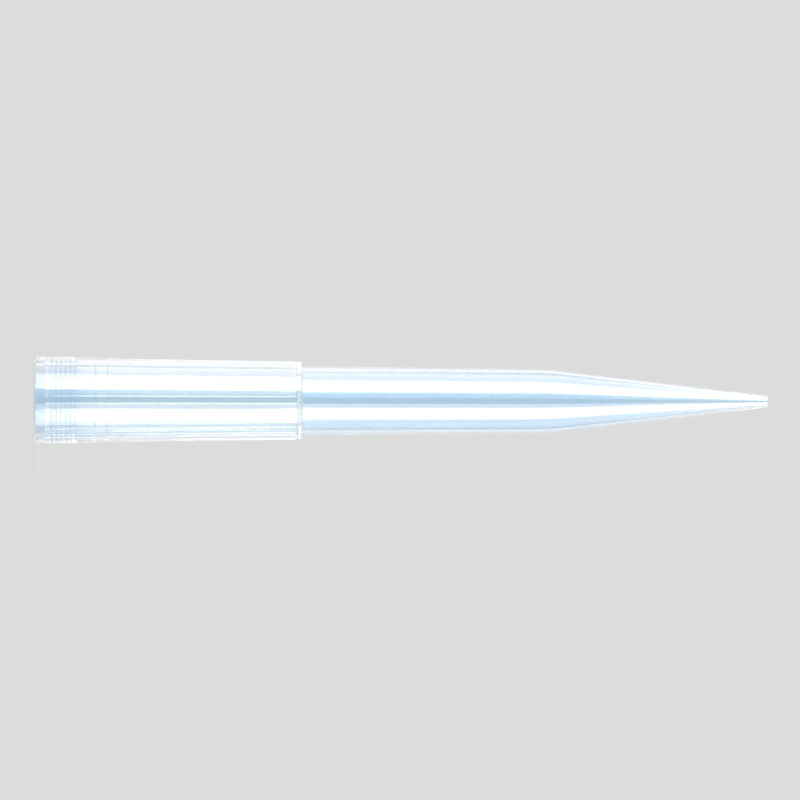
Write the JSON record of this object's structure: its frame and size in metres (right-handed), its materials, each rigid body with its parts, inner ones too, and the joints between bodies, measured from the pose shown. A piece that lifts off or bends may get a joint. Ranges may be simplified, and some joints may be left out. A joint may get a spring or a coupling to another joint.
{
  "type": "pipette tip",
  "caption": "Long clear plastic pipette tip: drafted collar with a ringed socket inside its mouth, square shoulder, slender barrel and tapered nose with a fine outlet.",
  "frame": {"origin": "centre of the rim face at the wide end, where the tip stands", "axes": "+Z along the axis of the tip, from the rim to the outlet"},
  "size_m": [0.0086, 0.0086, 0.0735],
  "materials": {
    "polypropylene": "smooth clear moulded, faintly hazy"
  },
  "bodies": {
    "root": {"pipette_tip": "polypropylene"}
  },
  "joints": []
}
